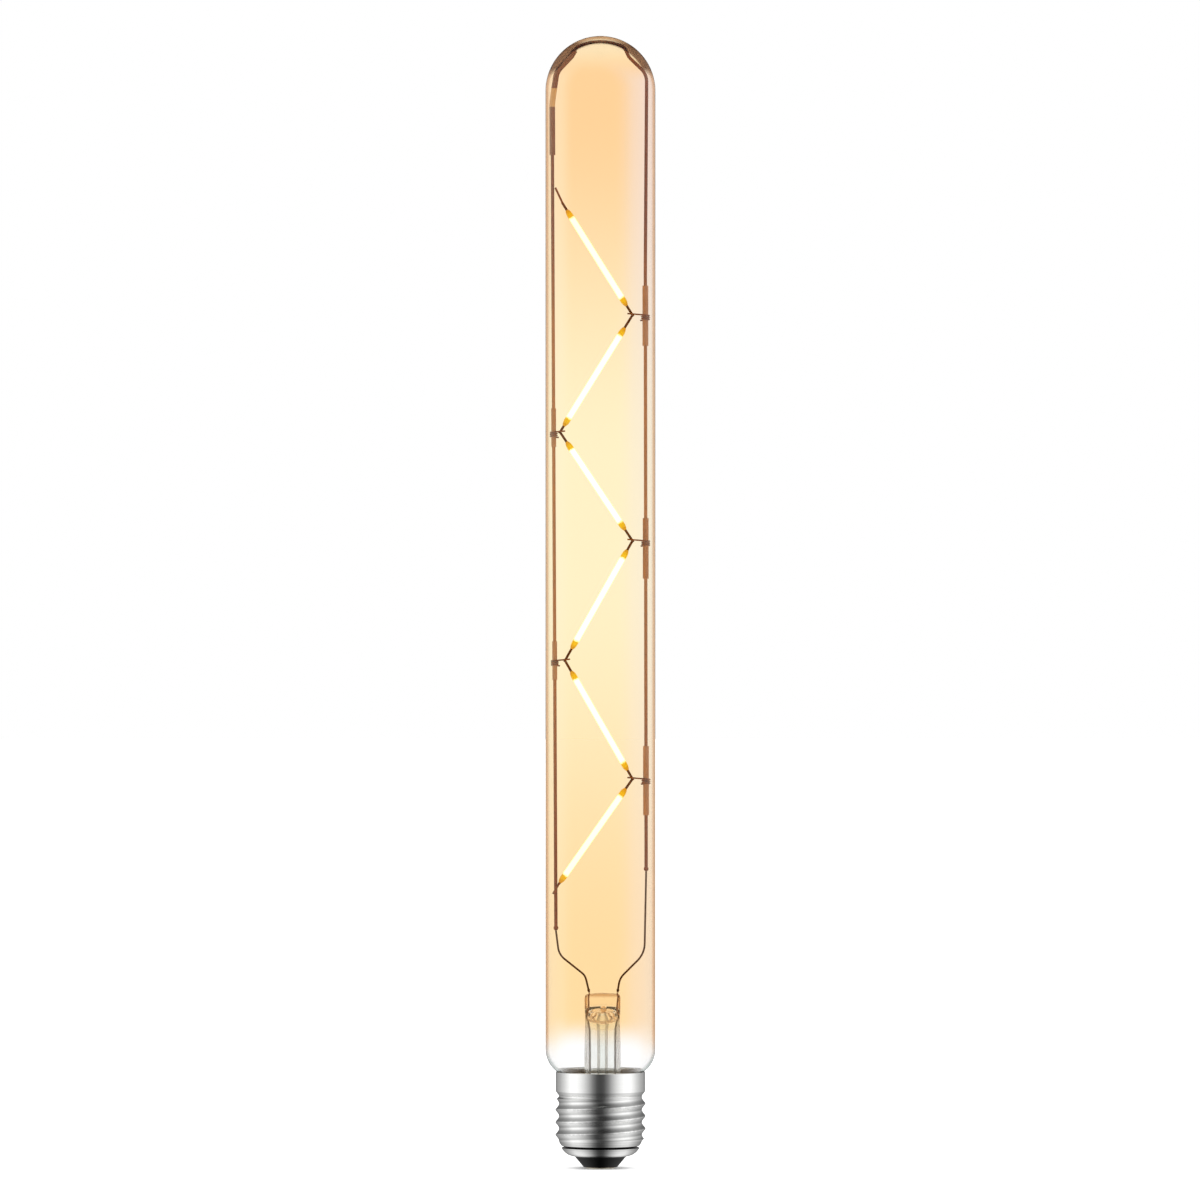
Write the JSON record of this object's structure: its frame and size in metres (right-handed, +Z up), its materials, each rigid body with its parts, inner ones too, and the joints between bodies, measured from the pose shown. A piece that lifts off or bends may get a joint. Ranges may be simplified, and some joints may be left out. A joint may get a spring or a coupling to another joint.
{
  "type": "tubular light bulb",
  "caption": "Long clear amber tube lamp with a domed top, lit filaments in a zigzag between two wire rails, a glass stem and a metal screw cap.",
  "frame": {"origin": "on the lamp's axis at the lowest point, the outer face of the centre contact", "axes": "+Z up the axis from the cap to the dome; the rails and the zigzag lie in the XZ plane, with the rail that forms the arch on +X; -Y faces the camera"},
  "size_m": [0.032, 0.032, 0.329],
  "materials": {
    "envelope_glass": "clear, tinted amber",
    "stem_glass": "clear",
    "sleeve_glass": "clear, thin walled",
    "rail_metal": "satin nickel plate, warm in the amber light",
    "lead_metal": "drawn wire",
    "seal_wire": "copper-clad wire",
    "tie_wire": "drawn wire",
    "terminal_metal": "rolled strip",
    "filament_coat": "matt silicone with phosphor, lit",
    "filament_strip": "matt",
    "cap_metal": "bright satin",
    "insulator": "moulded, glossy black",
    "contact_metal": "pressed",
    "cement": "matt basing cement",
    "board": "glass-fibre laminate",
    "component_black": "moulded",
    "capacitor": "sleeved can",
    "resistor": "lacquered"
  },
  "bodies": {
    "root": {"glass_envelope": "envelope_glass", "stem_glass": "stem_glass", "exhaust_tube": "stem_glass", "left_rail": "rail_metal", "right_rail": "rail_metal", "top_sleeve": "sleeve_glass", "left_inner_lead": "lead_metal", "right_inner_lead": "lead_metal", "left_seal_wire": "seal_wire", "right_seal_wire": "seal_wire", "left_outer_lead": "lead_metal", "right_outer_lead": "lead_metal", "sleeve_one": "sleeve_glass", "tie_wire_one": "tie_wire", "sleeve_two": "sleeve_glass", "tie_wire_two": "tie_wire", "sleeve_three": "rail_metal", "tie_wire_three": "tie_wire", "sleeve_four": "sleeve_glass", "tie_wire_four": "tie_wire", "sleeve_five": "sleeve_glass", "tie_wire_five": "tie_wire", "filament_one_coat": "filament_coat", "filament_one_strip": "filament_strip", "filament_one_lower_terminal": "terminal_metal", "filament_one_upper_terminal": "terminal_metal", "filament_two_coat": "filament_coat", "filament_two_strip": "filament_strip", "filament_two_lower_terminal": "terminal_metal", "filament_two_upper_terminal": "terminal_metal", "filament_three_coat": "filament_coat", "filament_three_strip": "filament_strip", "filament_three_lower_terminal": "terminal_metal", "filament_three_upper_terminal": "terminal_metal", "filament_four_coat": "filament_coat", "filament_four_strip": "filament_strip", "filament_four_lower_terminal": "terminal_metal", "filament_four_upper_terminal": "terminal_metal", "filament_five_coat": "filament_coat", "filament_five_strip": "filament_strip", "filament_five_lower_terminal": "terminal_metal", "filament_five_upper_terminal": "terminal_metal", "filament_six_coat": "filament_coat", "filament_six_strip": "filament_strip", "filament_six_lower_terminal": "terminal_metal", "filament_six_upper_terminal": "terminal_metal", "top_link_wire": "tie_wire", "bottom_link_wire": "tie_wire", "screw_shell": "cap_metal", "cap_insulator": "insulator", "centre_contact": "contact_metal", "cement_ring": "cement", "driver_board": "board", "bridge_rectifier": "component_black", "driver_chip": "component_black", "smoothing_capacitor": "capacitor", "fuse_resistor": "resistor", "live_wire": "lead_metal", "neutral_wire": "lead_metal"}
  },
  "joints": []
}
